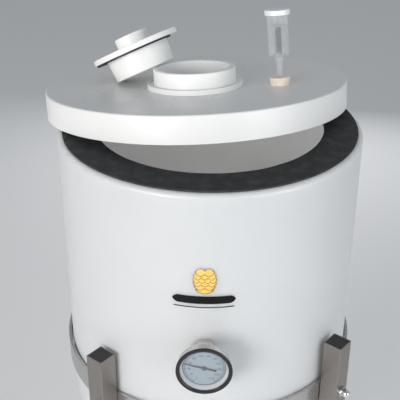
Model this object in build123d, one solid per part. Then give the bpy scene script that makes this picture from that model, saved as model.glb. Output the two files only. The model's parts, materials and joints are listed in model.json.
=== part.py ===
"""Conical fermenter on a four-legged stand, in millimetres.

The origin is on the tank's axis at floor level, with +Z up and the front towards -Y.
The lid lies pushed back and tilted on the tank, and its access plug leans on the collar.
"""
from build123d import *

import os
from dataclasses import dataclass
from math import atan, cos, hypot, inf, radians, sin, sqrt, tan

# Clearances
seat_gap = 0.3          # between bodies that rest on each other
run_gap = 0.06          # radial, round a shaft that turns or slides
thread_gap = 0.1        # radial, between a male and a female thread
fit_gap = 0.15          # between fixed pieces that slip together

# Tank
tank_radius = 228.5
tank_wall = 5
cylinder_height = 485   # from the cylinder's meeting with the cone to the top face
cone_angle = radians(30)    # of the cone's wall from the vertical
knuckle_radius = 145    # between cylinder and cone
shoulder_radius = 7.5
mouth_radius = 172
neck_radius = 30
neck_length = 26
neck_floor = 6
gasket_thick = 3
gasket_inner = 170.5

# Stand
leg_count = 4
leg_angle = -38.9       # degrees, the front right leg
leg_size = 30
leg_wall = 1.6
leg_corner = 1.2
leg_top_above_cone = 200    # above the cylinder's meeting with the cone
plug_depth = 20
foot_pad = 10
foot_edge = 2
hoop_gap = 2.4
hoop_thick = 4.5
hoop_height = 38
hoop_above_cone = 107   # the middle of the hoop
stud_rise = 4.5         # the stud above the hoop's middle
stud_radius = 4
stud_out = 9            # past the leg's outer face
nut_flats = 13
nut_height = 6.5
dome_radius = 6.2
washer_radius = 8.5
washer_thick = 1.6
cradle_radius = 150     # of the cone where the cradle ring carries it
cradle_bar = 8          # radius of the ring's round bar
arm_thick = 6
arm_height = 30
plate_thick = 5
plate_height = 66
plate_bolt_offset = 23
bolt_head = 5.3

# Lid
lid_radius = 237.4
lid_thick = 4
lid_depth = 40.9
lid_edge = 3
lid_inner_edge = 1.5
lid_shift = (-23.1, 99.6)
lid_tilt = (radians(-2.66), radians(9.31))
collar_place = (0, -44.2)
collar_outer = 63.3
collar_inner = 54.2
collar_height = 30
collar_flange = 73.7
collar_flange_thick = 6
collar_lip = 2
collar_lip_height = 7.8

# Access plug
plug_low_radius = 48.5
plug_top_radius = 51
plug_length = 33
plug_flange = 70.3
plug_flange_thick = 8.4
plug_seal_width = 6.5
plug_seal_thick = 2.6
plug_seal_slip = 5.5    # how far the loose seal has slid downhill under the flange
knob_radius = 26.6
knob_height = 17
spindle_radius = 6
spindle_depth = 6
plug_direction = radians(160.5)     # in which the plug leans, on the lid
plug_distance = 90      # along that direction, from the collar's axis to the plug's foot
plug_aside = -17        # across that direction

# Stopper and airlock
stopper_place = (130.8, -52.2)
stopper_tilt = 2        # degrees, away from the lid's edge
stopper_top = 16
stopper_low = 13
stopper_length = 25
stopper_above = 11.5
stopper_edge = 0.8
stem_radius = 4.5
stem_bore = 2.8
stem_grip = 10          # depth of the airlock's stem in the stopper
boss_radius = 6
boss_length = 9
airlock_floor = 43.2    # the cup's underside, above the lid
airlock_height = 67.8
airlock_radius = 16.3
airlock_wall = 1.3
airlock_corner = 3
chimney_height = 41
chimney_radius = 5
float_radius = 12.2
float_height = 45
float_wall = 1
float_notches = 8
float_notch = (6, 4, 6)     # through the wall, along it and up
float_pin_radius = 2
float_pin_height = 4
cap_radius = 19.1
cap_height = 5.8
cap_wall = 1.4
cap_edge = 1.2
cap_holes = 6
cap_hole_radius = 1.2
cap_hole_circle = 11

# Thermometer
thermo_angle = radians(-91)
thermo_height = 239     # above the cylinder's meeting with the cone
probe_radius = 3.2
probe_length = 150
tube_into_case = 5.5    # the fitting's tube past its flange
dial_reach = 49         # bezel's front, measured out from the wall
case_radius = 37
case_wall = 1.2
case_length = 13        # of the case's straight front part, without the bezel's lip
case_shoulder = 8       # along the axis, between the straight part and the dish
hub_radius = 15
hub_length = 3
bezel_radius = 39
bezel_inner = 33.8
bezel_depth = 2
bezel_lip = 1.2         # in front of the case and lens
bezel_edge = 0.5
dial_recess = 9         # from the bezel's front to the dial
dial_thick = 1
lens_thick = 2
needle_reach = 29
needle_tail = 17
needle_radius = 1.5
needle_hub = 3
needle_width = 2.4
needle_tail_width = 2.8
needle_tip_width = 0.7
needle_thick = 0.8
needle_turn = 76        # degrees, from straight up to the reading shown

# Ports
valve_gap = 1           # between a valve and the fitting that it screws onto
drain_clearance = 150   # from the floor to the dump spigot's end
rack_port_radius = 108  # of the cone at the racking port
rack_angle = radians(-91)
rack_arm_rise = 34
rack_arm_reach = 62
rack_arm_bend = 16
rack_arm_wall = 1.2
seat_width = 2          # of a ball seat past the bore
seat_depth = 3          # from the ball to the joint between a valve's two halves
ball_gap = 1            # round the ball
end_wall = 4            # of a valve's halves past the joint
thread_stop = 9         # solid left between the inlet's thread and the ball
tang_thick = 4          # of the stem's flat end in the ball's slot
slot_depth = 3
lever_gap = 1.5
lever_nut_thick = 5
stem_past_nut = 2
grip_wall = 1.6
grip_side = 2
reach_past_nut = 2      # of a fitting's tube inside the tank


@dataclass
class Bulkhead:
    """A threaded tube through a wall, with a flange on one side and a nut on the other."""
    thread: float
    bore: float
    flange_flats: float
    flange_thick: float
    nut_flats: float
    nut_thick: float
    seal_radius: float
    seal_thick: float


@dataclass
class Valve:
    """A two-piece ball valve with a lever."""
    bore: float
    ball: float
    wall: float
    inlet: float
    inlet_flats: float
    outlet: float
    spigot_radius: float
    spigot_length: float
    stem: float
    neck: float
    neck_rise: float
    gland_flats: float
    gland_thick: float
    lever_width: float
    lever_thick: float
    lever_length: float
    grip_length: float
    thread: float


thermo_fitting = Bulkhead(10.4, 3.4, 36, 7, 30, 8, 17, 2.5)
dump_fitting = Bulkhead(16.6, 12.5, 42, 4, 46, 12, 22, 2.5)
rack_fitting = Bulkhead(10.4, 7.5, 34, 6, 32, 8, 18, 5)
dump_valve = Valve(bore=12.5, ball=19.5, wall=6, inlet=38, inlet_flats=44, outlet=38,
                   spigot_radius=15, spigot_length=34, stem=5, neck=10, neck_rise=8,
                   gland_flats=20, gland_thick=6, lever_width=18, lever_thick=3,
                   lever_length=118, grip_length=82, thread=16.6)
rack_valve = Valve(bore=6, ball=12.5, wall=5, inlet=29, inlet_flats=30, outlet=28,
                   spigot_radius=9, spigot_length=30, stem=4, neck=8, neck_rise=6,
                   gland_flats=16, gland_thick=5, lever_width=14, lever_thick=2.5,
                   lever_length=92, grip_length=62, thread=10.4)

# Heights, worked out from the floor up
dump_ball_z = drain_clearance + dump_valve.spigot_length + dump_valve.outlet
valve_top = dump_ball_z + dump_valve.inlet
neck_bottom = valve_top + dump_fitting.nut_thick + dump_fitting.seal_thick + valve_gap
cone_start = neck_bottom + neck_length
cone_end = cone_start + (tank_radius - neck_radius) / tan(cone_angle)
tank_top = cone_end + cylinder_height
gasket_top = tank_top + gasket_thick
gasket_outer = tank_radius - shoulder_radius
leg_top = cone_end + leg_top_above_cone
hoop_inner = tank_radius + hoop_gap
hoop_outer = hoop_inner + hoop_thick
hoop_z = cone_end + hoop_above_cone
leg_radius = hoop_outer + leg_size / 2
leg_outer = hoop_outer + leg_size
cradle_touch_z = cone_start + (cradle_radius - neck_radius) / tan(cone_angle)
cradle_centre = cradle_radius + (cradle_bar + run_gap) * cos(cone_angle)
cradle_z = cradle_touch_z - (cradle_bar + run_gap) * sin(cone_angle)

os.makedirs("parts", exist_ok=True)


def save(name, shape):
    export_step(shape, f"parts/{name}.step")


def rod(radius, low, high):
    """A cylinder about Z between two heights."""
    return Pos(0, 0, low) * Cylinder(radius, high - low, align=(Align.CENTER, Align.CENTER, Align.MIN))


def ring(outer, inner, low, high):
    return rod(outer, low, high) - rod(inner, low - 1, high + 1)


def taper(low_radius, high_radius, low, high):
    """A frustum about Z between two heights."""
    return Pos(0, 0, low) * Cone(low_radius, high_radius, high - low,
                                 align=(Align.CENTER, Align.CENTER, Align.MIN))


def hexagon(flats, low, high):
    """A hexagonal bar about Z with slightly turned-down corners."""
    corner_cut = 0.03 * flats
    outline = RegularPolygon(flats / 2, 6, major_radius=False, rotation=30)
    bar = extrude(Pos(0, 0, low) * outline, high - low)
    return bar & rod(flats / sqrt(3) - corner_cut, low, high)


def turned(points):
    """A solid of revolution about Z from (radius, height) points."""
    outline = make_face(Polyline(*[(r, 0, z) for r, z in points], close=True))
    return revolve(outline, Axis.Z)


def block(size_x, size_y, low, high):
    return Pos(0, 0, low) * Box(size_x, size_y, high - low, align=(Align.CENTER, Align.CENTER, Align.MIN))


def around(shape, count, start=0):
    """Copies of a shape turned about Z, as one group of separate solids."""
    copies = [Rot(0, 0, start + 360 / count * i) * shape for i in range(count)]
    return Compound(children=[solid for item in copies for solid in item.solids()])


def group(*shapes):
    return Compound(children=[solid for shape in shapes for solid in shape.solids()])


# Tank: one moulded shell, open at the top and at the neck's floor
def tank_envelope(inset):
    """The filled inside or outside of the tank, moved in from its outer face by inset."""
    slant = inset / cos(cone_angle)
    corner = cone_end + (slant - inset) / tan(cone_angle)
    start = cone_start + (slant - inset) / tan(cone_angle)
    bottom = neck_bottom + (neck_floor if inset else 0)
    top = tank_top - inset
    side = tank_radius - inset
    neck = neck_radius - inset
    tangent = (knuckle_radius - inset) * tan(cone_angle / 2)
    bend = (side - (knuckle_radius - inset), corner + tangent)
    arc_mid = (bend[0] + (knuckle_radius - inset) * cos(cone_angle / 2),
               bend[1] - (knuckle_radius - inset) * sin(cone_angle / 2))
    arc_end = (side - tangent * sin(cone_angle), corner - tangent * cos(cone_angle))
    edge = shoulder_radius - inset
    half = sin(radians(45))
    wall = [
        Line((0, 0, top), (side - edge, 0, top)),
        ThreePointArc((side - edge, 0, top),
                      (side - edge * (1 - half), 0, top - edge * (1 - half)),
                      (side, 0, top - edge)),
        Line((side, 0, top - edge), (side, 0, bend[1])),
        ThreePointArc((side, 0, bend[1]), (arc_mid[0], 0, arc_mid[1]), (arc_end[0], 0, arc_end[1])),
        Line((arc_end[0], 0, arc_end[1]), (neck, 0, start)),
        Line((neck, 0, start), (neck, 0, bottom)),
        Line((neck, 0, bottom), (0, 0, bottom)),
        Line((0, 0, bottom), (0, 0, top)),
    ]
    return revolve(make_face(Curve() + wall), Axis.Z)


def outward(angle, slope):
    """Unit vector pointing away from the axis at an angle round it, tipped down by slope."""
    return Vector(cos(angle) * cos(slope), sin(angle) * cos(slope), -sin(slope))


def wall_frame(angle, radius, height, slope):
    """A frame on the tank's outer face: +Z out of the wall, +X up along it."""
    up = Vector(cos(angle) * sin(slope), sin(angle) * sin(slope), cos(slope))
    origin = Vector(radius * cos(angle), radius * sin(angle), height)
    return Plane(origin=origin, x_dir=up, z_dir=outward(angle, slope))


thermo_frame = wall_frame(thermo_angle, tank_radius, cone_end + thermo_height, 0)
rack_frame = wall_frame(rack_angle, rack_port_radius,
                        cone_start + (rack_port_radius - neck_radius) / tan(cone_angle), cone_angle)
outside = tank_envelope(0)
inside = tank_envelope(tank_wall)
mouth = rod(mouth_radius, tank_top - 2 * tank_wall, tank_top + 1)
drain_hole = rod(dump_fitting.thread + seat_gap, neck_bottom - 1, neck_bottom + 2 * neck_floor)
thermo_hole = thermo_frame.location * rod(thermo_fitting.thread + seat_gap, -4 * tank_wall, tank_wall)
rack_hole = rack_frame.location * rod(rack_fitting.thread + seat_gap, -4 * tank_wall, tank_wall)
save("tank", outside - inside - mouth - drain_hole - thermo_hole - rack_hole)
save("rim_gasket", ring(gasket_outer, gasket_inner, tank_top, gasket_top))

# Stand: four square tubes, a hoop round the cylinder and a ring under the cone
leg_bore = leg_size - 2 * leg_wall
leg_place = Pos(leg_radius, 0, 0)
stud_z = hoop_z + stud_rise
plate_bolts = [cradle_z - plate_bolt_offset, cradle_z + plate_bolt_offset]
bolt_heights = [stud_z, *plate_bolts]
leg_outline = extrude(Pos(0, 0, foot_pad) * RectangleRounded(leg_size, leg_size, leg_corner),
                      leg_top - foot_pad)
leg_hollow = block(leg_bore, leg_bore, foot_pad - 1, leg_top + 1)
radial = Rot(0, 90, 0)
leg = leg_place * (leg_outline - leg_hollow)
for height in bolt_heights:
    leg -= Pos(0, 0, height) * (radial * rod(stud_radius + fit_gap, hoop_inner - 5, leg_outer + 5))
for number in range(leg_count):
    save(f"leg_{number + 1}", Rot(0, 0, leg_angle + 360 / leg_count * number) * leg)

insert = leg_bore - 2 * fit_gap
top_plug = leg_place * block(insert, insert, leg_top - plug_depth, leg_top)
foot = leg_place * (block(insert, insert, foot_pad, foot_pad + plug_depth)
                    + fillet(block(leg_size, leg_size, 0, foot_pad).edges().group_by(Axis.Z)[0], foot_edge))
save("leg_plugs", around(top_plug, leg_count, leg_angle))
save("leg_feet", around(foot, leg_count, leg_angle))


def radial_bolt(start, height, head):
    """A bolt along +X through a leg, with a head of the given thickness inside its start."""
    bolt = rod(stud_radius, start, leg_outer + stud_out)
    if head:
        bolt += hexagon(nut_flats, start - head, start)
    return Pos(0, 0, height) * (radial * bolt)


def acorn_nut(height):
    """A domed nut on a washer against the leg's outer face."""
    seat = leg_outer + washer_thick
    dome = Pos(0, 0, seat + nut_height) * Sphere(dome_radius)
    nut = hexagon(nut_flats, seat, seat + nut_height) + (dome & rod(dome_radius, seat, seat + 30))
    nut -= rod(stud_radius + thread_gap, seat - 1, leg_outer + stud_out + fit_gap)
    return Pos(0, 0, height) * (radial * nut)


def leg_washer(height):
    washer = ring(washer_radius, stud_radius + fit_gap, leg_outer, leg_outer + washer_thick)
    return Pos(0, 0, height) * (radial * washer)


hoop = ring(hoop_outer, hoop_inner, hoop_z - hoop_height / 2, hoop_z + hoop_height / 2)
hoop_stud_holes = around(radial_bolt(hoop_inner - 5, stud_z, 0), leg_count, leg_angle)
for hole in hoop_stud_holes.solids():
    hoop -= hole
save("hoop", hoop)
save("hoop_studs", around(radial_bolt(hoop_inner + seat_gap, stud_z, 0), leg_count, leg_angle))

cradle_ring = Pos(0, 0, cradle_z) * Torus(cradle_centre, cradle_bar)
save("cradle_ring", cradle_ring)
plate_start = hoop_outer - plate_thick
bar_length = plate_start - cradle_centre
arm = Pos(cradle_centre + bar_length / 2, 0, cradle_z) * Box(bar_length, arm_thick, arm_height)
arm += Pos(hoop_outer - plate_thick / 2, 0, cradle_z) * Box(plate_thick, leg_size, plate_height)
for height in plate_bolts:
    arm -= Pos(0, 0, height) * (radial * rod(stud_radius + fit_gap, plate_start - 5, hoop_outer + 5))
arm -= Pos(0, 0, cradle_z) * Torus(cradle_centre, cradle_bar)
arm -= outside
arm = max(arm.solids(), key=lambda solid: solid.volume)
save("cradle_arms", around(arm, leg_count, leg_angle))
arm_bolt_set = group(*[radial_bolt(plate_start, height, bolt_head) for height in plate_bolts])
save("arm_bolts", around(arm_bolt_set, leg_count, leg_angle))
nut_set = group(*[acorn_nut(height) for height in bolt_heights])
save("acorn_nuts", around(nut_set, leg_count, leg_angle))
washer_set = group(*[leg_washer(height) for height in bolt_heights])
save("leg_washers", around(washer_set, leg_count, leg_angle))

# Lid: a shallow tray that lies tilted on the tank's rim
lid_normal = Vector(sin(lid_tilt[0]), sin(lid_tilt[1]),
                    sqrt(1 - sin(lid_tilt[0]) ** 2 - sin(lid_tilt[1]) ** 2))
lid_across = Vector(0, 1, 0).cross(lid_normal).normalized()
lid_along = lid_normal.cross(lid_across)


def rim_height(distance):
    """Height of the tank's top surface at a distance from its axis, outside the mouth."""
    if distance > tank_radius:
        return -inf
    if distance <= gasket_outer:
        return gasket_top
    over = distance - gasket_outer
    return tank_top - shoulder_radius + sqrt(shoulder_radius ** 2 - over ** 2)


def lid_rest_height():
    """Height of the lid's top centre at which it just clears everything that it rests on."""
    height = -inf
    for step in range(720):
        turn = radians(step / 2)
        rim = Vector(gasket_outer * cos(turn), gasket_outer * sin(turn), gasket_top)
        from_axis = rim - Vector(lid_shift[0], lid_shift[1], gasket_top)
        if hypot(from_axis.dot(lid_across), from_axis.dot(lid_along)) < lid_radius - lid_thick:
            reach = from_axis.X * lid_normal.X + from_axis.Y * lid_normal.Y
            height = max(height, gasket_top + (reach + lid_thick + seat_gap) / lid_normal.Z)
        for radius in (lid_radius, lid_radius - lid_thick):
            edge = lid_across * (radius * cos(turn)) + lid_along * (radius * sin(turn))
            edge -= lid_normal * lid_depth
            under = rim_height(hypot(edge.X + lid_shift[0], edge.Y + lid_shift[1]))
            height = max(height, under - edge.Z + seat_gap)
    return height


lid_frame = Plane(origin=(lid_shift[0], lid_shift[1], lid_rest_height()),
                  x_dir=lid_across, z_dir=lid_normal).location
collar_spot = Pos(collar_place[0], collar_place[1], 0)
stopper_spot = Pos(stopper_place[0], stopper_place[1], 0) * Rot(0, -stopper_tilt, 0)


def stopper_radius(height):
    """Radius of the tapered stopper at a height above the lid."""
    slope = (stopper_top - stopper_low) / stopper_length
    return stopper_top - slope * (stopper_above - height)


lid_shell = rod(lid_radius, -lid_depth, 0)
lid_shell = fillet(lid_shell.edges().group_by(Axis.Z)[-1], lid_edge)
lid_hollow = rod(lid_radius - lid_thick, -lid_depth - 1, -lid_thick)
lid_hollow = fillet(lid_hollow.edges().group_by(Axis.Z)[-1], lid_inner_edge)
hole_low = -2 * lid_thick
stopper_hole = taper(stopper_radius(hole_low) + fit_gap, stopper_radius(lid_thick) + fit_gap, hole_low, lid_thick)
access_hole = rod(collar_inner, hole_low, lid_thick)
lid = lid_shell - lid_hollow - collar_spot * access_hole - stopper_spot * stopper_hole
save("lid", lid_frame * lid)

collar = turned([
    (collar_inner, 0),
    (collar_flange, 0),
    (collar_flange, collar_lip_height),
    (collar_flange - collar_lip, collar_lip_height),
    (collar_flange - collar_lip, collar_flange_thick),
    (collar_outer, collar_flange_thick),
    (collar_outer, collar_height),
    (collar_inner, collar_height),
])
collar = chamfer(collar.edges().group_by(Axis.Z)[-1], 1)
save("lid_collar", lid_frame * (collar_spot * collar))


# Access plug: lies with its foot on the lid and its underside on the collar's edge
def plug_lean():
    """Tilt at which the plug's underside just meets the collar's outer edge."""
    lean = radians(20)
    for _ in range(40):
        run = plug_low_radius * cos(lean) + plug_distance - collar_outer
        lean = atan(collar_height / run)
    return lean


lean = plug_lean()
downhill = Vector(cos(plug_direction), sin(plug_direction), 0)
plug_axis = Vector(0, 0, 1) * cos(lean) + downhill * sin(lean)
plug_across = Vector(0, 0, 1).cross(downhill)
plug_foot = Vector(collar_place[0], collar_place[1], 0) + downhill * plug_distance + plug_across * plug_aside
plug_foot += Vector(0, 0, plug_low_radius * sin(lean) + seat_gap / cos(lean))
plug_frame = lid_frame * Plane(origin=plug_foot, x_dir=plug_across, z_dir=plug_axis).location
flange_low = plug_length + plug_seal_thick
flange_high = flange_low + plug_flange_thick
plug_body = taper(plug_low_radius, plug_top_radius, 0, plug_length)
plug_body = fillet(plug_body.edges().group_by(Axis.Z)[0], 1)
plug_body += rod(plug_top_radius, plug_length, flange_low)
plug_disc = rod(plug_flange, flange_low, flange_high)
plug_body += fillet(plug_disc.edges(), 1)
plug_body -= rod(spindle_radius, flange_high - spindle_depth, flange_high + 1)
save("access_plug", plug_frame * plug_body)
knob = fillet(rod(knob_radius, flange_high, flange_high + knob_height).edges().group_by(Axis.Z)[-1], 1.5)
knob += rod(spindle_radius - fit_gap, flange_high - spindle_depth + seat_gap, flange_high)
save("plug_knob", plug_frame * knob)
seal_inner = plug_top_radius + plug_seal_slip + fit_gap
plug_seal = ring(seal_inner + plug_seal_width, seal_inner, plug_length, flange_low)
save("plug_gasket", plug_frame * (Pos(0, -plug_seal_slip, 0) * plug_seal))

# Stopper and airlock
stopper = taper(stopper_low, stopper_top, stopper_above - stopper_length, stopper_above)
stopper = fillet(stopper.edges(), stopper_edge)
stopper -= rod(stem_radius + run_gap, stopper_above - stopper_length - 1, stopper_above + 1)
save("stopper", lid_frame * (stopper_spot * stopper))

cup_floor = airlock_floor + airlock_wall
cup_top = airlock_floor + airlock_height
stem_end = stopper_above - stem_grip
chimney_top = cup_floor + chimney_height
airlock = rod(airlock_radius, airlock_floor, cup_top)
airlock = fillet(airlock.edges().group_by(Axis.Z)[0], airlock_corner)
airlock -= rod(airlock_radius - airlock_wall, cup_floor, cup_top + 1)
airlock += rod(stem_radius, stem_end, airlock_floor)
airlock += rod(boss_radius, airlock_floor - boss_length, airlock_floor)
airlock += rod(chimney_radius, airlock_floor, chimney_top)
airlock -= rod(stem_bore, stem_end - 1, chimney_top + 1)
save("airlock_body", lid_frame * (stopper_spot * airlock))

float_low = cup_floor + seat_gap
float_top = float_low + float_height
bell = rod(float_radius, float_low, float_top)
bell = fillet(bell.edges().group_by(Axis.Z)[-1], 2 * float_wall)
bell -= rod(float_radius - float_wall, float_low - 1, float_top - float_wall)
notch = Pos(float_radius, 0, float_low) * Box(float_notch[0], float_notch[1], 2 * float_notch[2])
for turn in range(float_notches):
    bell -= Rot(0, 0, 360 / float_notches * turn) * notch
bell += rod(float_pin_radius, float_top - float_wall, float_top + float_pin_height)
save("airlock_float", lid_frame * (stopper_spot * bell))

cap_under = cup_top + seat_gap
cap = rod(cap_radius, cup_top - cap_height, cap_under + cap_wall)
cap = fillet(cap.edges().group_by(Axis.Z)[-1], cap_edge)
cap -= rod(airlock_radius + run_gap, cup_top - cap_height - 1, cap_under)
for turn in range(cap_holes):
    cap_hole = Pos(cap_hole_circle, 0, 0) * rod(cap_hole_radius, cup_top, cup_top + 4 * cap_wall)
    cap -= Rot(0, 0, 360 / cap_holes * turn) * cap_hole
save("airlock_cap", lid_frame * (stopper_spot * cap))


# Fittings through the tank's wall
def fitting(name, size, frame, wall, tail, reach_in=0, flipped=False):
    """Save a bulkhead's tube, nut and two seals. The frame's +Z leaves the wall's outer face.

    The flange is outside and the nut inside, or the other way round when flipped.
    The tube runs on past its flange by tail.
    """
    seals_out = ring(size.seal_radius, size.thread + fit_gap, -wall, size.seal_thick)
    seals_in = ring(size.seal_radius, size.thread + fit_gap, -wall - size.seal_thick, 0)
    seal_set = group(frame * seals_out - outside, (frame * seals_in) & inside)
    inner = -wall - size.seal_thick
    outer = size.seal_thick
    if flipped:
        flange = hexagon(size.flange_flats, inner - size.flange_thick, inner)
        nut = hexagon(size.nut_flats, outer, outer + size.nut_thick)
        tube = rod(size.thread, inner - size.flange_thick, outer + size.nut_thick + tail)
    else:
        flange = hexagon(size.flange_flats, outer, outer + size.flange_thick)
        nut = hexagon(size.nut_flats, inner - size.nut_thick, inner)
        tube = rod(size.thread, inner - size.nut_thick - reach_in, outer + size.flange_thick + tail)
    nut -= rod(size.thread + thread_gap, inner - 50, outer + 50)
    body = tube + flange - rod(size.bore, inner - 100, outer + 100)
    save(f"{name}_bulkhead", frame * body)
    save(f"{name}_locknut", frame * nut)
    save(f"{name}_seals", seal_set)


# Thermometer
case_back = thermo_fitting.seal_thick + thermo_fitting.flange_thick
tube_end = case_back + tube_into_case
fitting("thermo", thermo_fitting, thermo_frame.location, tank_wall, tube_into_case, reach_past_nut)
hub_start = case_back + seat_gap
case_front = dial_reach - bezel_lip
straight = case_front - case_length
dish_edge = case_radius - case_wall - 3
case_bore = thermo_fitting.thread + thread_gap
case_outline = [
    (case_bore, hub_start),
    (hub_radius, hub_start),
    (hub_radius, hub_start + hub_length),
    (dish_edge, straight - case_shoulder),
    (case_radius, straight),
    (case_radius, case_front),
    (case_radius - case_wall, case_front),
    (case_radius - case_wall, straight + case_wall),
    (dish_edge - case_wall, straight - case_shoulder + 2 * case_wall),
    (hub_radius - case_wall, tube_end + case_wall),
    (case_bore, tube_end + case_wall),
]
save("dial_case", thermo_frame.location * turned(case_outline))
bezel_start = dial_reach - bezel_depth
bezel = turned([
    (case_radius + fit_gap, bezel_start),
    (bezel_radius, bezel_start),
    (bezel_radius, dial_reach - bezel_edge),
    (bezel_radius - bezel_edge, dial_reach),
    (bezel_inner + bezel_edge, dial_reach),
    (bezel_inner, dial_reach - bezel_edge),
    (bezel_inner, case_front + fit_gap),
    (case_radius + fit_gap, case_front + fit_gap),
])
save("dial_bezel", thermo_frame.location * bezel)
shelf = case_radius - case_wall - fit_gap
save("dial_lens", thermo_frame.location * rod(shelf, case_front - lens_thick, case_front))
dial_z = dial_reach - dial_recess - dial_thick
dial = ring(shelf, needle_radius + run_gap, dial_z, dial_z + dial_thick)
save("dial_face", thermo_frame.location * dial)
probe_end = dial_z - 3
probe = rod(probe_radius, -probe_length, probe_end)
save("thermo_probe", thermo_frame.location * probe)
needle_z = dial_z + dial_thick + 1
hand = Pos(0, 0, needle_z) * extrude(
    make_face(Polyline((-needle_width / 2, 0), (-needle_tail_width / 2, -needle_tail),
                       (needle_tail_width / 2, -needle_tail), (needle_width / 2, 0),
                       (needle_tip_width / 2, needle_reach), (-needle_tip_width / 2, needle_reach),
                       close=True)), needle_thick)
hand += rod(needle_hub, needle_z, needle_z + 2 * needle_thick) + rod(needle_radius, probe_end + 1, needle_z)
save("dial_needle", thermo_frame.location * (Rot(0, 0, needle_turn - 90) * hand))


# Ball valves
def thread_depth(size):
    """Depth of the female thread in a valve's inlet."""
    return size.inlet - size.ball - thread_stop


def valve_nodes(name, size, frame):
    """Save a valve in its frame: ball at the origin, outlet along +Z, stem along +X."""
    across = Rot(0, 90, 0)
    shell = size.ball + size.wall
    cavity = size.ball + ball_gap
    face = size.ball + seat_depth
    shoulder = face + end_wall
    outlet_end = size.outlet + size.spigot_length
    neck_top = shell + size.neck_rise
    gland_top = neck_top + size.gland_thick
    lever_low = gland_top + lever_gap
    lever_high = lever_low + size.lever_thick
    nut_top = lever_high + lever_nut_thick

    housing = rod(shell, -shoulder, face) + across * rod(size.neck, 0, neck_top)
    housing = housing + hexagon(size.inlet_flats, -size.inlet, -face)
    housing -= rod(cavity, -face, face + 1)
    housing -= rod(size.bore, -size.inlet - 1, 0)
    housing -= rod(size.thread + thread_gap, -size.inlet - 1, thread_depth(size) - size.inlet)
    housing -= across * rod(size.stem + run_gap, 0, neck_top + 1)
    save(f"{name}_valve_body", frame * housing)

    tail = hexagon(size.inlet_flats, face, size.outlet) + rod(shell, face, shoulder)
    tail += rod(size.spigot_radius, size.outlet, outlet_end)
    tail -= rod(size.bore, 0, outlet_end + 1)
    tail = chamfer(tail.edges().group_by(Axis.Z)[-1], 0.8)
    save(f"{name}_valve_tail", frame * tail)

    slot = Pos(size.ball, 0, 0) * Box(2 * slot_depth, 2 * size.stem + 1, tang_thick + 2 * fit_gap)
    ball = Sphere(size.ball) - Rot(90, 0, 0) * rod(size.bore, -size.ball - 1, size.ball + 1) - slot
    save(f"{name}_valve_ball", frame * ball)

    seat_start = sqrt(size.ball ** 2 - (size.bore + seat_width) ** 2) - 1
    seat_ring = ring(cavity - fit_gap, size.bore, seat_start, face) - Sphere(size.ball + run_gap)
    save(f"{name}_valve_seats", frame * group(seat_ring, Rot(180, 0, 0) * seat_ring))

    tang = Box(2 * (slot_depth - seat_gap), 2 * size.stem, tang_thick)
    tang = tang & across * rod(size.stem, -slot_depth, slot_depth)
    stem = across * rod(size.stem, cavity - 0.5, nut_top + stem_past_nut) + Pos(size.ball, 0, 0) * tang
    save(f"{name}_valve_stem", frame * stem)

    gland = hexagon(size.gland_flats, neck_top, gland_top)
    gland -= rod(size.stem + run_gap, neck_top - 1, gland_top + 1)
    save(f"{name}_valve_gland", frame * (across * gland))

    eye = size.lever_width * 0.7    # from the stem to the lever's near end
    lever_outline = RectangleRounded(size.lever_width, size.lever_length, size.lever_width * 0.45)
    lever = Pos(0, size.lever_length / 2 - eye, lever_low) * extrude(lever_outline, size.lever_thick)
    lever -= rod(size.stem + fit_gap, lever_low - 1, lever_high + 1)
    grip_far = size.lever_length - eye + grip_side
    grip_near = grip_far - size.grip_length
    grip_width = size.lever_width + 2 * grip_side
    grip_outline = RectangleRounded(grip_width, size.grip_length, grip_width * 0.45)
    grip = Pos(0, (grip_far + grip_near) / 2, lever_low - grip_wall) * extrude(
        grip_outline, size.lever_thick + 2 * grip_wall)
    grip = fillet(grip.edges().group_by(Axis.Z)[-1], grip_wall / 2)
    grip -= lever
    grip -= block(size.lever_width, 2 * grip_near, lever_low, lever_high)
    grip = max(grip.solids(), key=lambda solid: solid.volume)
    save(f"{name}_valve_lever", frame * (across * lever))
    save(f"{name}_valve_grip", frame * (across * grip))
    nut = hexagon(size.gland_flats - 3, lever_high, nut_top)
    nut -= rod(size.stem + thread_gap, lever_high - 1, nut_top + 1)
    save(f"{name}_lever_nut", frame * (across * nut))


front = outward(rack_angle, 0)
neck_frame = Plane(origin=(0, 0, neck_bottom), x_dir=front, z_dir=(0, 0, -1))
fitting("dump", dump_fitting, neck_frame.location, neck_floor, thread_depth(dump_valve), flipped=True)
dump_frame = Plane(origin=(0, 0, dump_ball_z), x_dir=front, z_dir=(0, 0, -1))
valve_nodes("dump", dump_valve, dump_frame.location)
fitting("rack", rack_fitting, rack_frame.location, tank_wall, thread_depth(rack_valve), reach_past_nut)
rack_ball_out = rack_fitting.seal_thick + rack_fitting.flange_thick + valve_gap + rack_valve.inlet
rack_ball_frame = Plane(origin=rack_frame.origin + rack_frame.z_dir * rack_ball_out,
                        x_dir=rack_frame.x_dir, z_dir=rack_frame.z_dir)
valve_nodes("rack", rack_valve, rack_ball_frame.location)

# Racking arm: a bent tube that turns in the fitting's bore
arm_outer = rack_fitting.bore - run_gap
arm_in = -(tank_wall + rack_arm_rise)
arm_path = FilletPolyline((0, 0, reach_past_nut), (0, 0, arm_in), (rack_arm_reach, 0, arm_in),
                          radius=rack_arm_bend)
arm_section = Plane(origin=arm_path @ 0, z_dir=arm_path % 0)
arm_solid = sweep(arm_section * Circle(arm_outer), path=arm_path)
arm_hollow = sweep(arm_section * Circle(arm_outer - rack_arm_wall), path=arm_path)
save("racking_arm", rack_frame.location * (arm_solid - arm_hollow))
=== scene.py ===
import json
import math
from math import cos, hypot, pi, radians, sin

import bpy
from mathutils import Matrix, Vector, noise


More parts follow.
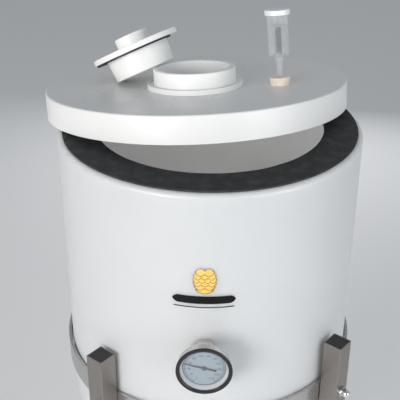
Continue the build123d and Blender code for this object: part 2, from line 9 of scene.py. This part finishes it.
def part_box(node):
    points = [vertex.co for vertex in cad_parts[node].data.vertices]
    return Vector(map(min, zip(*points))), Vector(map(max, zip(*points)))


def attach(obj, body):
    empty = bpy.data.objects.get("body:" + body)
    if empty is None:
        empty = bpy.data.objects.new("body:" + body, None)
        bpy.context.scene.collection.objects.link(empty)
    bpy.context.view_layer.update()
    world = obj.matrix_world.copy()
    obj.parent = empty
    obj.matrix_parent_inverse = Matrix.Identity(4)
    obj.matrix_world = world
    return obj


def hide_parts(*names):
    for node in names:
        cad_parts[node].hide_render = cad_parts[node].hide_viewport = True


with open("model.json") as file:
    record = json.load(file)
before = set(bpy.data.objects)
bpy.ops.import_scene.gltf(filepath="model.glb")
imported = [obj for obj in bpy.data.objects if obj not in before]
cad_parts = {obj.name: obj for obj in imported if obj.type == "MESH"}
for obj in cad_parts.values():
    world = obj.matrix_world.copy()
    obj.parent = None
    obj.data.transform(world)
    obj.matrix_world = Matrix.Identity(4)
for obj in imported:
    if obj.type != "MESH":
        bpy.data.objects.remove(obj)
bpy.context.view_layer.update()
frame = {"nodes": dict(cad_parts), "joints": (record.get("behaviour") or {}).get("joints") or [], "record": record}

# Feet and leg plugs: moulded black nylon inserts, knocked into the ends of the square tubes.
# The plugs sit flush with the cut ends, so a thin bright line of metal shows round them.
nodes = frame["nodes"]


class Signal:
    """A value that varies over a surface. Arithmetic on it adds Math nodes to its finish."""

    def __init__(self, finish, socket):
        self.finish = finish
        self.socket = socket

    def math(self, operation, *terms):
        return self.finish.node("ShaderNodeMath", {"operation": operation}, dict(enumerate(terms)))

    def __add__(self, other):
        return self.math("ADD", self, other)

    def __pow__(self, other):
        return self.math("POWER", self, other)

    def __rpow__(self, other):
        return self.math("POWER", other, self)

    __radd__ = __add__

    def ramp(self, low, high, start=0.0, end=1.0):
        """The signal stretched so that low becomes start and high becomes end, and held there."""
        span = {"clamp": True}
        return self.finish.node("ShaderNodeMapRange", span, {0: self, 1: low, 2: high, 3: start, 4: end})


class Finish:
    """A procedural material on one Principled shader, built node by node."""

    def __init__(self, name, colour, roughness, metallic=0.0, constants=None):
        self.material = bpy.data.materials.new(name)
        self.material.use_nodes = True
        self.tree = self.material.node_tree
        self.shader = self.tree.nodes["Principled BSDF"]
        self.colour = (*colour, 1)
        self.shader.inputs["Base Color"].default_value = self.colour
        self.shader.inputs["Roughness"].default_value = roughness
        self.shader.inputs["Metallic"].default_value = metallic
        self.material.diffuse_color = self.colour
        for label, value in (constants or {}).items():
            self.shader.inputs[label].default_value = value

    def node(self, kind, settings=None, inputs=None, output=0):
        """A new node: its settings first, then the values or links of its sockets."""
        node = self.tree.nodes.new(kind)
        for label, value in (settings or {}).items():
            setattr(node, label, value)
        for socket, value in (inputs or {}).items():
            if isinstance(value, Signal):
                self.tree.links.new(value.socket, node.inputs[socket])
            else:
                node.inputs[socket].default_value = value
        return Signal(self, node.outputs[output])

    def place(self, stretch=(1, 1, 1)):
        """Coordinates in metres, stretched per axis."""
        where = self.node("ShaderNodeTexCoord", output="Object")
        return self.node("ShaderNodeMapping", {}, {"Vector": where, "Scale": stretch})

    def noise(self, scale, detail=3.0, stretch=(1, 1, 1), rough=0.5):
        """Cloudy noise from 0 to 1 with scale cycles to the metre."""
        facts = {"Vector": self.place(stretch), "Scale": scale, "Detail": detail, "Roughness": rough}
        return self.node("ShaderNodeTexNoise", {}, facts)

    def cells(self, scale):
        """Distance to the nearest of many scattered points, scale to the metre."""
        facts = {"Vector": self.place(), "Scale": scale}
        return self.node("ShaderNodeTexVoronoi", {"feature": "F1"}, facts)

    def paint(self, amount, second):
        """Blend the finish's colour towards another where amount is high."""
        colours = {0: amount, 6: self.colour, 7: (*second, 1)}
        self.feed("Base Color", self.node("ShaderNodeMix", {"data_type": "RGBA"}, colours, 2))

    def feed(self, label, signal):
        self.tree.links.new(signal.socket, self.shader.inputs[label])

    def bump(self, *layers):
        """Relief from (signal, height in metres) layers."""
        normal = None
        for signal, height in layers:
            facts = {"Height": signal, "Distance": height, "Strength": 1.0}
            if normal:
                facts["Normal"] = normal
            normal = self.node("ShaderNodeBump", {}, facts)
        self.feed("Normal", normal)


def dress(finish, *names):
    """Give CAD nodes a finish."""
    for name in names:
        slots = nodes[name].data.materials
        slots.clear()
        slots.append(finish.material)


nylon = Finish("moulded_nylon", (0.018, 0.019, 0.021), 0.5)
nylon.feed("Roughness", nylon.noise(900).ramp(0.3, 0.7, 0.42, 0.62))
nylon.bump((nylon.noise(2500), 0.00006))
dress(nylon, "leg_plugs", "leg_feet")


# Legs: four lengths of square aluminium tube with a brushed face, drilled through for the bolts.
# The brushing runs along the tube, so its fine scratches stand upright.
def brushed(name, colour, roughness, along="Z", scale=220, wear=0.12):
    """Metal with fine scratches that run along one axis."""
    finish = Finish(name, colour, roughness, 1.0)
    stretch = tuple(0.02 if letter == along else 1 for letter in "XYZ")
    lines = finish.noise(scale * 12, 4, stretch, 0.7)
    clouds = finish.noise(7, 2)
    darker = tuple(value * 0.72 for value in colour)
    finish.paint(lines.ramp(0.35, 0.65, 0.0, 0.6) + clouds.ramp(0.4, 0.7, 0.0, 0.25), darker)
    finish.feed("Roughness", lines.ramp(0.3, 0.7, roughness - wear, roughness + wear))
    finish.bump((lines, 0.00004))
    return finish


leg_metal = brushed("leg_aluminium", (0.34, 0.31, 0.29), 0.36)
dress(leg_metal, "leg_1", "leg_2", "leg_3", "leg_4")

# Hoop and cradle: stainless flat bar and round bar, rolled and welded, that carry the tank.
# The welds are left as laid, with their ripples and a straw-coloured heat tint.
body_of = {node: body for body, names in frame["record"]["behaviour"]["bodies"].items() for node in names}
hoop_metal = brushed("hoop_stainless", (0.62, 0.61, 0.60), 0.3, "X", 60)
dress(hoop_metal, "hoop", "cradle_ring", "cradle_arms")


def solid_piece(name, points, faces, finish, body, smooth=True):
    """A new mesh piece that rides on a body."""
    mesh = bpy.data.meshes.new(name)
    mesh.from_pydata(points, [], faces)
    mesh.materials.append(finish.material)
    mesh.polygons.foreach_set("use_smooth", [smooth] * len(mesh.polygons))
    mesh.update()
    piece = bpy.data.objects.new(name, mesh)
    bpy.context.scene.collection.objects.link(piece)
    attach(piece, body)
    return piece


def tube_mesh(route, radii, sides=10):
    """Points and faces of a closed tube along a route, with a radius at each of its points."""
    points = []
    faces = []
    for index, place in enumerate(route):
        ahead = route[min(index + 1, len(route) - 1)] - route[max(index - 1, 0)]
        side = ahead.orthogonal().normalized()
        other = ahead.cross(side).normalized()
        for turn in range(sides):
            angle = 2 * pi * turn / sides
            points.append(place + (side * cos(angle) + other * sin(angle)) * radii[index])
    for ring in range(len(route) - 1):
        for turn in range(sides):
            first = ring * sides + turn
            second = ring * sides + (turn + 1) % sides
            faces.append((first, second, second + sides, first + sides))
    faces.append(tuple(reversed(range(sides))))
    faces.append(tuple(range(len(points) - sides, len(points))))
    return points, faces


weld_metal = Finish("weld_bead", (0.50, 0.47, 0.43), 0.38, 1.0)
weld_metal.paint(weld_metal.noise(260, 4).ramp(0.4, 0.7), (0.32, 0.25, 0.17))
weld_metal.bump((weld_metal.noise(900), 0.0001))
bead_radius = 0.0018
ripple = 0.22
ring_low, ring_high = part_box("cradle_ring")
bar_radius = (ring_high.z - ring_low.z) / 2
ring_radius = (ring_high.x - ring_low.x) / 2 - bar_radius
ring_z = (ring_low.z + ring_high.z) / 2
leg_low, leg_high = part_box("leg_1")
leg_middle = (leg_low + leg_high) / 2
leg_angle = math.atan2(leg_middle.y, leg_middle.x)
hoop_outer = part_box("hoop")[1].x
arm_half = 0.003
arm_half_height = 0.015
plate_gap = 0.005           # from the hoop's outer face in to the weld
plate_inner = hoop_outer - plate_gap
bead_sink = 0.4             # share of its radius that a bead stands off the arm
bead_steps = 40
bead_arc = radians(160)     # of the ring's bar that a bead follows
ripple_pace = 1.9
weld_points = []
weld_faces = []
for leg in range(4):
    turn_to_leg = Matrix.Rotation(leg_angle + leg * pi / 2, 3, "Z")
    for side in (-1, 1):
        beside = side * (arm_half + bead_radius * bead_sink)
        shares = [step / bead_steps for step in range(bead_steps + 1)]
        on_ring = [Vector((ring_radius + bar_radius * cos(t), beside, ring_z + bar_radius * sin(t)))
                   for t in (bead_arc * (share - 0.5) for share in shares)]
        on_plate = [Vector((plate_inner, beside, ring_z + arm_half_height * (2 * share - 1)))
                    for share in shares]
        for route in (on_ring, on_plate):
            radii = [bead_radius * (1 + ripple * sin(ripple_pace * step)) for step in range(len(route))]
            points, faces = tube_mesh([turn_to_leg @ place for place in route], radii)
            start = len(weld_points)
            weld_points += points
            weld_faces += [tuple(start + corner for corner in face) for face in faces]
cradle_welds = solid_piece("cradle_welds", weld_points, weld_faces, weld_metal, body_of["cradle_ring"])

# Fasteners: chromed acorn nuts over plain zinc-plated washers, on studs and bolts of steel.
# They hold the hoop and the cradle's arms to the legs.
chrome = Finish("chrome_plate", (0.78, 0.78, 0.79), 0.08, 1.0)
chrome.feed("Roughness", chrome.noise(400).ramp(0.3, 0.8, 0.06, 0.2))
dress(chrome, "acorn_nuts")
zinc = brushed("zinc_plate", (0.66, 0.66, 0.64), 0.32, "Y", 150)
dress(zinc, "leg_washers", "arm_bolts", "hoop_studs")

# Tank: one rotation-moulded shell of natural polyethylene. It is cloudy and lets light through,
# and its skin has the faint ripple of the mould.
translucent = {"Subsurface Weight": 0.9, "Subsurface Scale": 0.03, "Subsurface Radius": (1.0, 0.95, 0.9)}
poly = Finish("natural_polyethylene", (0.86, 0.855, 0.84), 0.36, constants=translucent)
clouds = poly.noise(9, 3)
poly.paint(clouds.ramp(0.35, 0.7, 0.0, 0.35), (0.80, 0.80, 0.80))
poly.feed("Roughness", poly.noise(40, 4).ramp(0.3, 0.7, 0.30, 0.42))
poly.bump((poly.noise(22, 2), 0.0008), (poly.noise(700, 3), 0.00003))
dress(poly, "tank")

# Rim gasket: a ring of closed-cell foam, die-cut and glued to the tank's top flange.
# Its skin dips and wanders a little where it was pressed down by hand.
foam = Finish("closed_cell_foam", (0.022, 0.025, 0.026), 0.85)
pores = foam.cells(1500)
foam.paint(foam.noise(60, 4).ramp(0.45, 0.75, 0.0, 0.8), (0.055, 0.06, 0.062))
foam.bump((pores, 0.0002), (foam.noise(25), 0.001))
dress(foam, "rim_gasket")
gasket_low, gasket_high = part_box("rim_gasket")
gasket_outer = gasket_high.x
gasket_inner = 0.1705
foam_dip = 0.0005


def soften(corners, cuts=5):
    """An outline of (radius, height, rounding) corners as (radius, height) points."""
    outline = []
    count = len(corners)
    for index, (r, z, reach) in enumerate(corners):
        corner = Vector((r, z))
        if not reach:
            outline.append(corner)
            continue
        before = (Vector(corners[index - 1][:2]) - corner).normalized() * reach
        after = (Vector(corners[(index + 1) % count][:2]) - corner).normalized() * reach
        for step in range(cuts + 1):
            t = step / cuts
            outline.append(corner + before * (1 - t) ** 2 + after * t ** 2)
    return outline


def lathe_mesh(outline, steps=192, closed=True):
    """Points and faces of an outline of (radius, height) points turned about Z."""
    points = []
    rings = []
    for r, z in outline:
        if r < 1e-6:
            rings.append([len(points)] * steps)
            points.append(Vector((0, 0, z)))
            continue
        rings.append(list(range(len(points), len(points) + steps)))
        points += [Vector((r * cos(2 * pi * turn / steps), r * sin(2 * pi * turn / steps), z))
                   for turn in range(steps)]
    faces = []
    pairs = list(zip(rings, rings[1:])) + ([(rings[-1], rings[0])] if closed else [])
    for low, high in pairs:
        for turn in range(steps):
            face = (low[turn], high[turn], high[(turn + 1) % steps], low[(turn + 1) % steps])
            face = tuple(dict.fromkeys(face))
            if len(face) > 2:
                faces.append(face)
    return points, faces


foam_edge = 0.0008
glue_edge = 0.0001
broad_lumps = 38            # to the metre
fine_lumps = 120
wander = 0.0008             # share of its radius that the inner edge strays
gasket_rows = [(gasket_inner + (gasket_outer - gasket_inner) * share, gasket_high.z, 0)
               for share in (0.25, 0.5, 0.75)]
gasket_outline = soften([(gasket_outer, gasket_low.z, glue_edge), (gasket_outer, gasket_high.z, foam_edge),
                         *reversed(gasket_rows),
                         (gasket_inner, gasket_high.z, foam_edge), (gasket_inner, gasket_low.z, glue_edge)])
points, faces = lathe_mesh(gasket_outline, 256)
for point in points:
    broad = noise.noise(Vector((point.x, point.y, 0)) * broad_lumps)
    fine = noise.noise(Vector((point.x, point.y, 3)) * fine_lumps)
    lumps = broad + 0.5 * fine
    if point.z > gasket_low.z + foam_edge:
        point.z -= foam_dip * (0.5 + 0.5 * lumps)
    reach = 1 + wander * lumps if hypot(point.x, point.y) < gasket_outer - 2 * foam_edge else 1
    point.x *= reach
    point.y *= reach
rim_foam = solid_piece("rim_foam", points, faces, foam, body_of["rim_gasket"])
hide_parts("rim_gasket")

# Lid: a shallow tray of the same polyethylene with a skirt and a rounded edge, moulded in one.
# Two round holes are cut in it afterwards, for the access collar and the stopper.
lid_poly = Finish("lid_polyethylene", (0.80, 0.80, 0.79), 0.33)
lid_poly.feed("Roughness", lid_poly.noise(35, 4).ramp(0.3, 0.7, 0.27, 0.40))
lid_poly.bump((lid_poly.noise(18, 2), 0.0007), (lid_poly.noise(500, 3), 0.00003))
lid_radius = 0.2374
lid_depth = 0.0409
lid_wall = 0.004
collar_place = (0.0, -0.0442)
collar_bore = 0.0542
stopper_place = (0.1308, -0.0522)
stopper_bore = 0.0156
lid_edge = 0.0035
skirt_edge = 0.0008
inner_edge = 0.0018
drill_reach = 0.03
flat_enough = 0.9999        # cosine between a flat face and the lid's own axis
joint_axis = {joint["name"]: Vector(joint["axis"]) for joint in frame["joints"]}
lid_normal = joint_axis["plug_lift"].normalized()
lid_low, lid_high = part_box("lid")
lid_across = Vector((0, 1, 0)).cross(lid_normal).normalized()
lid_along = lid_normal.cross(lid_across)
lid_turn = Matrix((lid_across, lid_along, lid_normal)).transposed().to_4x4()
lid_middle = (lid_low + lid_high) / 2
lid_frame = Matrix.Translation(lid_middle + lid_normal * lid_depth / 2) @ lid_turn
top_rows = [(lid_radius * share, 0, 0) for share in (0.2, 0.4, 0.6, 0.8, 0.93)]
under_rows = [(r, -lid_wall, 0) for r, _, _ in reversed(top_rows)]
lid_outline = soften([
    (0, 0, 0), *top_rows, (lid_radius, 0, lid_edge),
    (lid_radius, -lid_depth, skirt_edge), (lid_radius - lid_wall, -lid_depth, skirt_edge),
    (lid_radius - lid_wall, -lid_wall, inner_edge), *under_rows, (0, -lid_wall, 0)], 7)


def bake_modifiers(piece):
    """Put the result of a piece's modifiers into its mesh."""
    bpy.context.view_layer.update()
    seen = piece.evaluated_get(bpy.context.evaluated_depsgraph_get())
    mesh = bpy.data.meshes.new_from_object(seen)
    piece.modifiers.clear()
    piece.data = mesh


def cut_hole(piece, place, radius):
    """Bore a round hole through a piece that lies in the lid's own coordinates."""
    points, faces = lathe_mesh([(0, -drill_reach), (radius, -drill_reach), (radius, drill_reach),
                                (0, drill_reach)], 96, False)
    drill_mesh = bpy.data.meshes.new("drill")
    drill_mesh.from_pydata([point + Vector((*place, 0)) for point in points], [], faces)
    drill = bpy.data.objects.new("drill", drill_mesh)
    bpy.context.scene.collection.objects.link(drill)
    cut = piece.modifiers.new("cut", "BOOLEAN")
    cut.object = drill
    cut.solver = "EXACT"
    bake_modifiers(piece)
    bpy.data.objects.remove(drill)


points, faces = lathe_mesh(lid_outline, 256, False)
lid_shell = solid_piece("lid_shell", points, faces, lid_poly, body_of["lid"])
cut_hole(lid_shell, collar_place, collar_bore)
cut_hole(lid_shell, stopper_place, stopper_bore)
lid_shell.data.transform(lid_frame)
for face in lid_shell.data.polygons:
    face.use_smooth = abs(face.normal.dot(lid_normal)) < flat_enough
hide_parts("lid")

# Collar and access plug: turned from white polyethylene, with fine tool marks. The collar is fixed
# over the lid's hole, and the plug is loose, with a flat rubber ring under its flange.
turned_poly = Finish("turned_polyethylene", (0.91, 0.91, 0.90), 0.40)
turned_poly.bump((turned_poly.noise(600, 3), 0.00004))
dress(turned_poly, "lid_collar", "access_plug", "plug_knob")
rubber = Finish("black_rubber", (0.02, 0.02, 0.021), 0.6)
rubber.bump((rubber.noise(1200), 0.00005))
dress(rubber, "plug_gasket")

# Stopper: tapered natural rubber, dusty and slightly mottled, moulded with a hole up its middle.
# It is pushed into the lid's smaller hole and grips the airlock's stem.
natural = Finish("natural_rubber", (0.90, 0.74, 0.61), 0.7)
natural.paint(natural.noise(220, 4).ramp(0.4, 0.7), (0.94, 0.85, 0.76))
natural.bump((natural.noise(900), 0.0001))
dress(natural, "stopper")

# Airlock: a cup and a float of clear moulded polystyrene, under a white cap that snaps on.
# Gas lifts the float and leaves through the water round it.
clear = Finish("clear_polystyrene", (0.80, 0.84, 0.86), 0.06, constants={"IOR": 1.5})
rim = clear.node("ShaderNodeLayerWeight", {}, {"Blend": 0.35}, "Facing")
# Painted shade: the base colour turns darker grey-blue where the surface turns away from the view, standing in for
# the shade at the clear cup's edges.
clear.paint((rim ** 2).ramp(0.1, 0.8), (0.45, 0.50, 0.53))
clear.feed("Alpha", (rim ** 1.8).ramp(0, 1, 0.07, 0.85))
clear.material.surface_render_method = "BLENDED"
dress(clear, "airlock_body", "airlock_float")
cap_white = Finish("cap_polypropylene", (0.85, 0.86, 0.86), 0.3)
cap_white.bump((cap_white.noise(800), 0.00003))
dress(cap_white, "airlock_cap")

# Thermometer: a stainless case and fitting, a dark chromed bezel pressed over the glass, and an
# enamelled dial printed in blue, inside a pale ring. It screws through the wall into the beer.
steel = brushed("turned_stainless", (0.68, 0.66, 0.64), 0.28, "Y", 200)
dark_chrome = Finish("dark_chrome", (0.055, 0.055, 0.058), 0.25, 1.0)
dress(dark_chrome, "dial_bezel")
dial_enamel = Finish("dial_enamel", (0.25, 0.30, 0.335), 0.45)
dress(dial_enamel, "dial_face")
ink_and_shade = Finish("black_ink_and_shade", (0.01, 0.01, 0.012), 0.5)
dress(ink_and_shade, "dial_needle")
blue_ink = Finish("blue_ink", (0.02, 0.05, 0.16), 0.5)
scale_radius = 0.0262
scale_sweep = radians(300)
scale_top = 220
number_size = 0.0052
number_radius = 0.0208
print_lift = 0.00015
needle_gap = 0.001      # from the dial to the needle's joint
scale_line = 0.0003
joint_place = {joint["name"]: Vector(joint.get("pos_m", (0, 0, 0))) for joint in frame["joints"]}
dial_out = -joint_axis["needle_turn"].normalized()
dial_right = Vector((0, 0, 1)).cross(dial_out).normalized()
dial_middle = joint_place["needle_turn"] - dial_out * (needle_gap - print_lift)
dial_turn = Matrix((dial_right, Vector((0, 0, 1)), dial_out)).transposed().to_4x4()
dial_frame = Matrix.Translation(dial_middle) @ dial_turn
print_points = []
print_faces = []


def print_band(start, end, inner, outer, cuts):
    """A flat piece of a ring on the dial, between two angles clockwise from the top."""
    first = len(print_points)
    for step in range(cuts + 1):
        angle = start + (end - start) * step / cuts
        for radius in (inner, outer):
            print_points.append(Vector((radius * sin(angle), radius * cos(angle), 0)))
    for step in range(cuts):
        corner = first + 2 * step
        print_faces.append((corner, corner + 1, corner + 3, corner + 2))


print_band(-scale_sweep / 2, scale_sweep / 2, scale_radius, scale_radius + scale_line, 120)
for reading in range(0, scale_top + 1, 2):
    angle = scale_sweep * (reading / scale_top - 0.5)
    long_tick = reading % 20 == 0
    middle_tick = reading % 10 == 0
    tick = 0.0042 if long_tick else 0.0032 if middle_tick else 0.0020
    half = 0.00028 if long_tick else 0.00016
    print_band(angle - half / scale_radius, angle + half / scale_radius, scale_radius, scale_radius + tick, 1)
scale_print = solid_piece("scale_print", print_points, print_faces, blue_ink, body_of["dial_face"], False)
scale_print.data.transform(dial_frame)
for reading in range(0, scale_top + 1, 20):
    angle = scale_sweep * (reading / scale_top - 0.5)
    figure = bpy.data.curves.new(f"number_{reading}", "FONT")
    figure.body = str(reading)
    figure.size = number_size
    figure.align_x = "CENTER"
    figure.align_y = "CENTER"
    text = bpy.data.objects.new(f"dial_number_{reading}", figure)
    bpy.context.scene.collection.objects.link(text)
    bpy.context.view_layer.update()
    shape = bpy.data.meshes.new_from_object(text)
    bpy.data.objects.remove(text)
    shape.transform(Matrix.Translation((number_radius * sin(angle), number_radius * cos(angle), 0)))
    shape.transform(dial_frame)
    shape.materials.clear()
    shape.materials.append(blue_ink.material)
    number = bpy.data.objects.new(f"dial_number_{reading}", shape)
    bpy.context.scene.collection.objects.link(number)
    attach(number, body_of["dial_face"])
white_wall = Finish("dial_surround", (0.55, 0.56, 0.57), 0.35)
white_wall.bump((white_wall.noise(900), 0.00003))
wall_low = 0.0302
wall_high = 0.0334
wall_rise = 0.0062
wall_foot = 0.0003
wall_edge = 0.0002
line_lift = 0.0001
line_width = 0.0009
points, faces = lathe_mesh(soften([
    (wall_low, wall_foot, wall_edge), (wall_high, wall_rise, wall_edge),
    (wall_high, wall_foot, wall_edge)], 3), 96)
dial_surround = solid_piece("dial_surround", points, faces, white_wall, body_of["dial_face"])
dial_surround.data.transform(dial_frame)
# A full black ring round the foot of the pale wall, where the dial meets it: it stands for the dial's dark edge,
# and it is also painted shade, the shadow line of the recess.
points, faces = lathe_mesh([(wall_low, line_lift), (wall_low - line_width, line_lift)], 96, False)
dial_edge_and_shade = solid_piece("dial_edge_and_shade", points, faces, ink_and_shade, body_of["dial_face"], False)
dial_edge_and_shade.data.transform(dial_frame)
pane = Finish("dial_glass", (0.9, 0.96, 1.0), 0.03, constants={"IOR": 1.45})
pane_rim = pane.node("ShaderNodeLayerWeight", {}, {"Blend": 0.3}, "Facing")
pane.feed("Alpha", (pane_rim ** 2).ramp(0, 1, 0.05, 0.6))
dress(pane, "dial_lens")

# Emblem: a plain printed transfer on the tank's front, a hop cone over a dark band and a line.
# It is thin film, so it lies on the wall's curve with no thickness to speak of.
tank_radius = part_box("tank")[1].x
film_lift = 0.0003
emblem_drop = 0.114         # from the tank's top face to the emblem's top
emblem_top = gasket_high.z - emblem_drop
gold = Finish("gold_film", (0.80, 0.52, 0.10), 0.4)
gold.paint(gold.noise(300, 2).ramp(0.4, 0.6, 0.0, 0.5), (0.90, 0.66, 0.22))
bronze = Finish("bronze_film", (0.30, 0.15, 0.03), 0.4)
bronze.paint(bronze.noise(300, 2).ramp(0.4, 0.6, 0.0, 0.5), (0.42, 0.24, 0.06))
film_black = Finish("black_film", (0.004, 0.004, 0.005), 0.45,
                    constants={"Specular IOR Level": 0.2})
film_black.feed("Roughness", film_black.noise(500).ramp(0.3, 0.7, 0.34, 0.5))


def on_wall(across, z, lift):
    """The point of the tank's front at a distance across from the middle."""
    angle = across / tank_radius
    radius = tank_radius + lift
    return Vector((radius * sin(angle), -radius * cos(angle), z))


def film(name, shapes, finish):
    """Flat shapes on the tank's wall, each a fan of (across, z) points with a lift."""
    points = []
    faces = []
    for outline, lift in shapes:
        start = len(points)
        middle_across = sum(across for across, _ in outline) / len(outline)
        middle_z = sum(z for _, z in outline) / len(outline)
        points.append(on_wall(middle_across, middle_z, lift))
        points += [on_wall(across, z, lift) for across, z in outline]
        for corner in range(len(outline)):
            following = (corner + 1) % len(outline)
            faces.append((start, start + 1 + following, start + 1 + corner))
    solid_piece(name, points, faces, finish, body_of["tank"], False)


leaf_fullness = 0.7


def scale_leaf(across, top, width, length):
    """One pointed scale of the cone, hanging down."""
    left = [(across - width / 2 * sin(pi * t) ** leaf_fullness, top - length * t)
            for t in (0.05, 0.2, 0.4, 0.6, 0.8, 0.94)]
    right = [(2 * across - x, z) for x, z in reversed(left)]
    return left + [(across, top - length)] + right + [(across, top)]


cone_middle = -0.005
cone_length = 0.036
cone_width = 0.030
light_scales = []
dark_scales = []
row_counts = (2, 3, 4, 3, 2, 1)
cone_rows = len(row_counts)
row_lift = 0.00006
outline_drop = 0.00003
outline_rise = 0.0006
row_pace = 0.78             # share of the cone's length that its rows' tops are spread over
scale_overlap = 1.12        # a scale's width over its share of the row
scale_share = 0.32          # a scale's length over the cone's
outline_share = 0.37
outline_width = 1.22        # over the scale's
for row, across_count in enumerate(row_counts):
    share = row / (cone_rows - 1)
    row_width = cone_width * (0.55 + 0.45 * sin(pi * (0.15 + 0.8 * share)))
    row_top = emblem_top - cone_length * row_pace * share
    lift = film_lift + row_lift * (cone_rows - row)
    for index in range(across_count):
        place = cone_middle + row_width * ((index + 0.5) / across_count - 0.5)
        width = row_width / across_count * scale_overlap
        light_scales.append((scale_leaf(place, row_top, width, cone_length * scale_share), lift))
        outline = scale_leaf(place, row_top + outline_rise, width * outline_width,
                             cone_length * outline_share)
        dark_scales.append((outline, lift - outline_drop))
film("emblem_cone", light_scales, gold)
film("emblem_outline", dark_scales, bronze)
band_sag = 0.0016


def band(left, right, top, height, taper, cuts=40):
    """A long band with pointed ends and a slight sag."""
    upper = []
    lower = []
    for step in range(cuts + 1):
        t = step / cuts
        across = left + (right - left) * t
        thick = height * min(1.0, min(t, 1 - t) / taper) ** 0.5
        sag = band_sag * (1 - (2 * t - 1) ** 2)
        upper.append((across, top - sag - (height - thick) / 2))
        lower.append((across, top - sag - (height + thick) / 2))
    return upper, lower


band_points = []
band_faces = []
bands = ((-0.050, 0.038, 0.043, 0.0125, 0.08),      # left, right, drop, height, taper
         (-0.049, 0.037, 0.0605, 0.0016, 0.02))
for left, right, drop, height, pointed in bands:
    upper, lower = band(left, right, emblem_top - drop, height, pointed)
    start = len(band_points)
    band_points += [on_wall(across, z, film_lift) for pair in zip(upper, lower) for across, z in pair]
    for step in range(len(upper) - 1):
        corner = start + 2 * step
        band_faces.append((corner, corner + 1, corner + 3, corner + 2))
emblem_bands = solid_piece("emblem_bands", band_points, band_faces, film_black, body_of["tank"], False)

# Valves and fittings: stainless bodies screwed to bulkheads in the cone and neck, with silicone
# seals, white ball seats, and levers dipped in vinyl. Each is dressed by its slot, except
# for the fasteners, which have a finish already.
silicone = Finish("silicone", (0.62, 0.62, 0.58), 0.4)
vinyl = Finish("dipped_vinyl", (0.02, 0.06, 0.30), 0.35)
seat_white = Finish("seat_white", (0.85, 0.85, 0.84), 0.4)
slot_of = {part["node"]: part["material_slot"] for part in frame["record"]["subparts"]}
slot_finish = {"bright_steel": steel, "seal_clear": silicone, "grip_vinyl": vinyl, "ptfe": seat_white}
for name in nodes:
    if slot_of[name] in slot_finish and name not in ("arm_bolts", "hoop_studs", "leg_washers"):
        dress(slot_finish[slot_of[name]], name)

# Stage: a pale floor, three soft lamps and a dim even light all round, and the camera, which looks
# down on the rim from the front. The lamp behind adds no glare.
floor_mesh = bpy.data.meshes.new("floor")
span = 12.0
corners = [(-span, -span, 0), (span, -span, 0), (span, span, 0), (-span, span, 0)]
floor_mesh.from_pydata(corners, [], [(0, 1, 2, 3)])
floor = bpy.data.objects.new("floor", floor_mesh)
bpy.context.scene.collection.objects.link(floor)
floor_finish = Finish("floor_paint", (0.84, 0.84, 0.84), 0.9)
floor_mesh.materials.append(floor_finish.material)


def soft_light(name, place, target, size, power, colour=(1, 1, 1)):
    """A rectangular lamp that faces a target."""
    lamp = bpy.data.lights.new(name, "AREA")
    lamp.shape = "RECTANGLE"
    lamp.size, lamp.size_y = size
    lamp.energy = power
    lamp.color = colour
    holder = bpy.data.objects.new(name, lamp)
    holder.location = place
    holder.rotation_euler = (Vector(target) - Vector(place)).to_track_quat("-Z", "Y").to_euler()
    bpy.context.scene.collection.objects.link(holder)
    return holder


rim_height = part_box("rim_gasket")[1].z
rim_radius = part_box("rim_gasket")[1].x
aim = (0, 0, rim_height - 0.2)
soft_light("key", (-1.6, -2.6, 1.7), aim, (1.4, 1.4), 70, (1.0, 0.985, 0.965))
soft_light("fill", (2.2, -1.8, 1.4), aim, (1.6, 1.6), 31, (0.96, 0.985, 1.0))
soft_light("back", (0.3, 2.8, 1.1), aim, (1.6, 1.2), 15).visible_glossy = False
world = bpy.data.worlds.new("studio")
world.use_nodes = True
world.node_tree.nodes["Background"].inputs["Color"].default_value = (0.9, 0.95, 1.0, 1)
world.node_tree.nodes["Background"].inputs["Strength"].default_value = 0.38
bpy.context.scene.world = world

camera_out = 5.35 * rim_radius      # in front of the tank's axis
camera_up = 2.292 * rim_radius      # above the rim
yaw, pitch, roll = radians(-0.707), radians(28.412), radians(0.201)
forward = Vector((sin(yaw) * cos(pitch), cos(yaw) * cos(pitch), -sin(pitch)))
level = Vector((cos(yaw), -sin(yaw), 0))
upright = level.cross(forward)
right = level * cos(roll) + upright * sin(roll)
top = upright * cos(roll) - level * sin(roll)
lens = bpy.data.cameras.new("camera")
lens.sensor_width = 36
lens.lens = 76.5
camera = bpy.data.objects.new("camera", lens)
turn = Matrix((right, top, -forward)).transposed().to_4x4()
camera.matrix_world = Matrix.Translation((0, -camera_out, rim_height + camera_up)) @ turn
bpy.context.scene.collection.objects.link(camera)
bpy.context.scene.camera = camera
bpy.context.scene.view_settings.view_transform = "Standard"
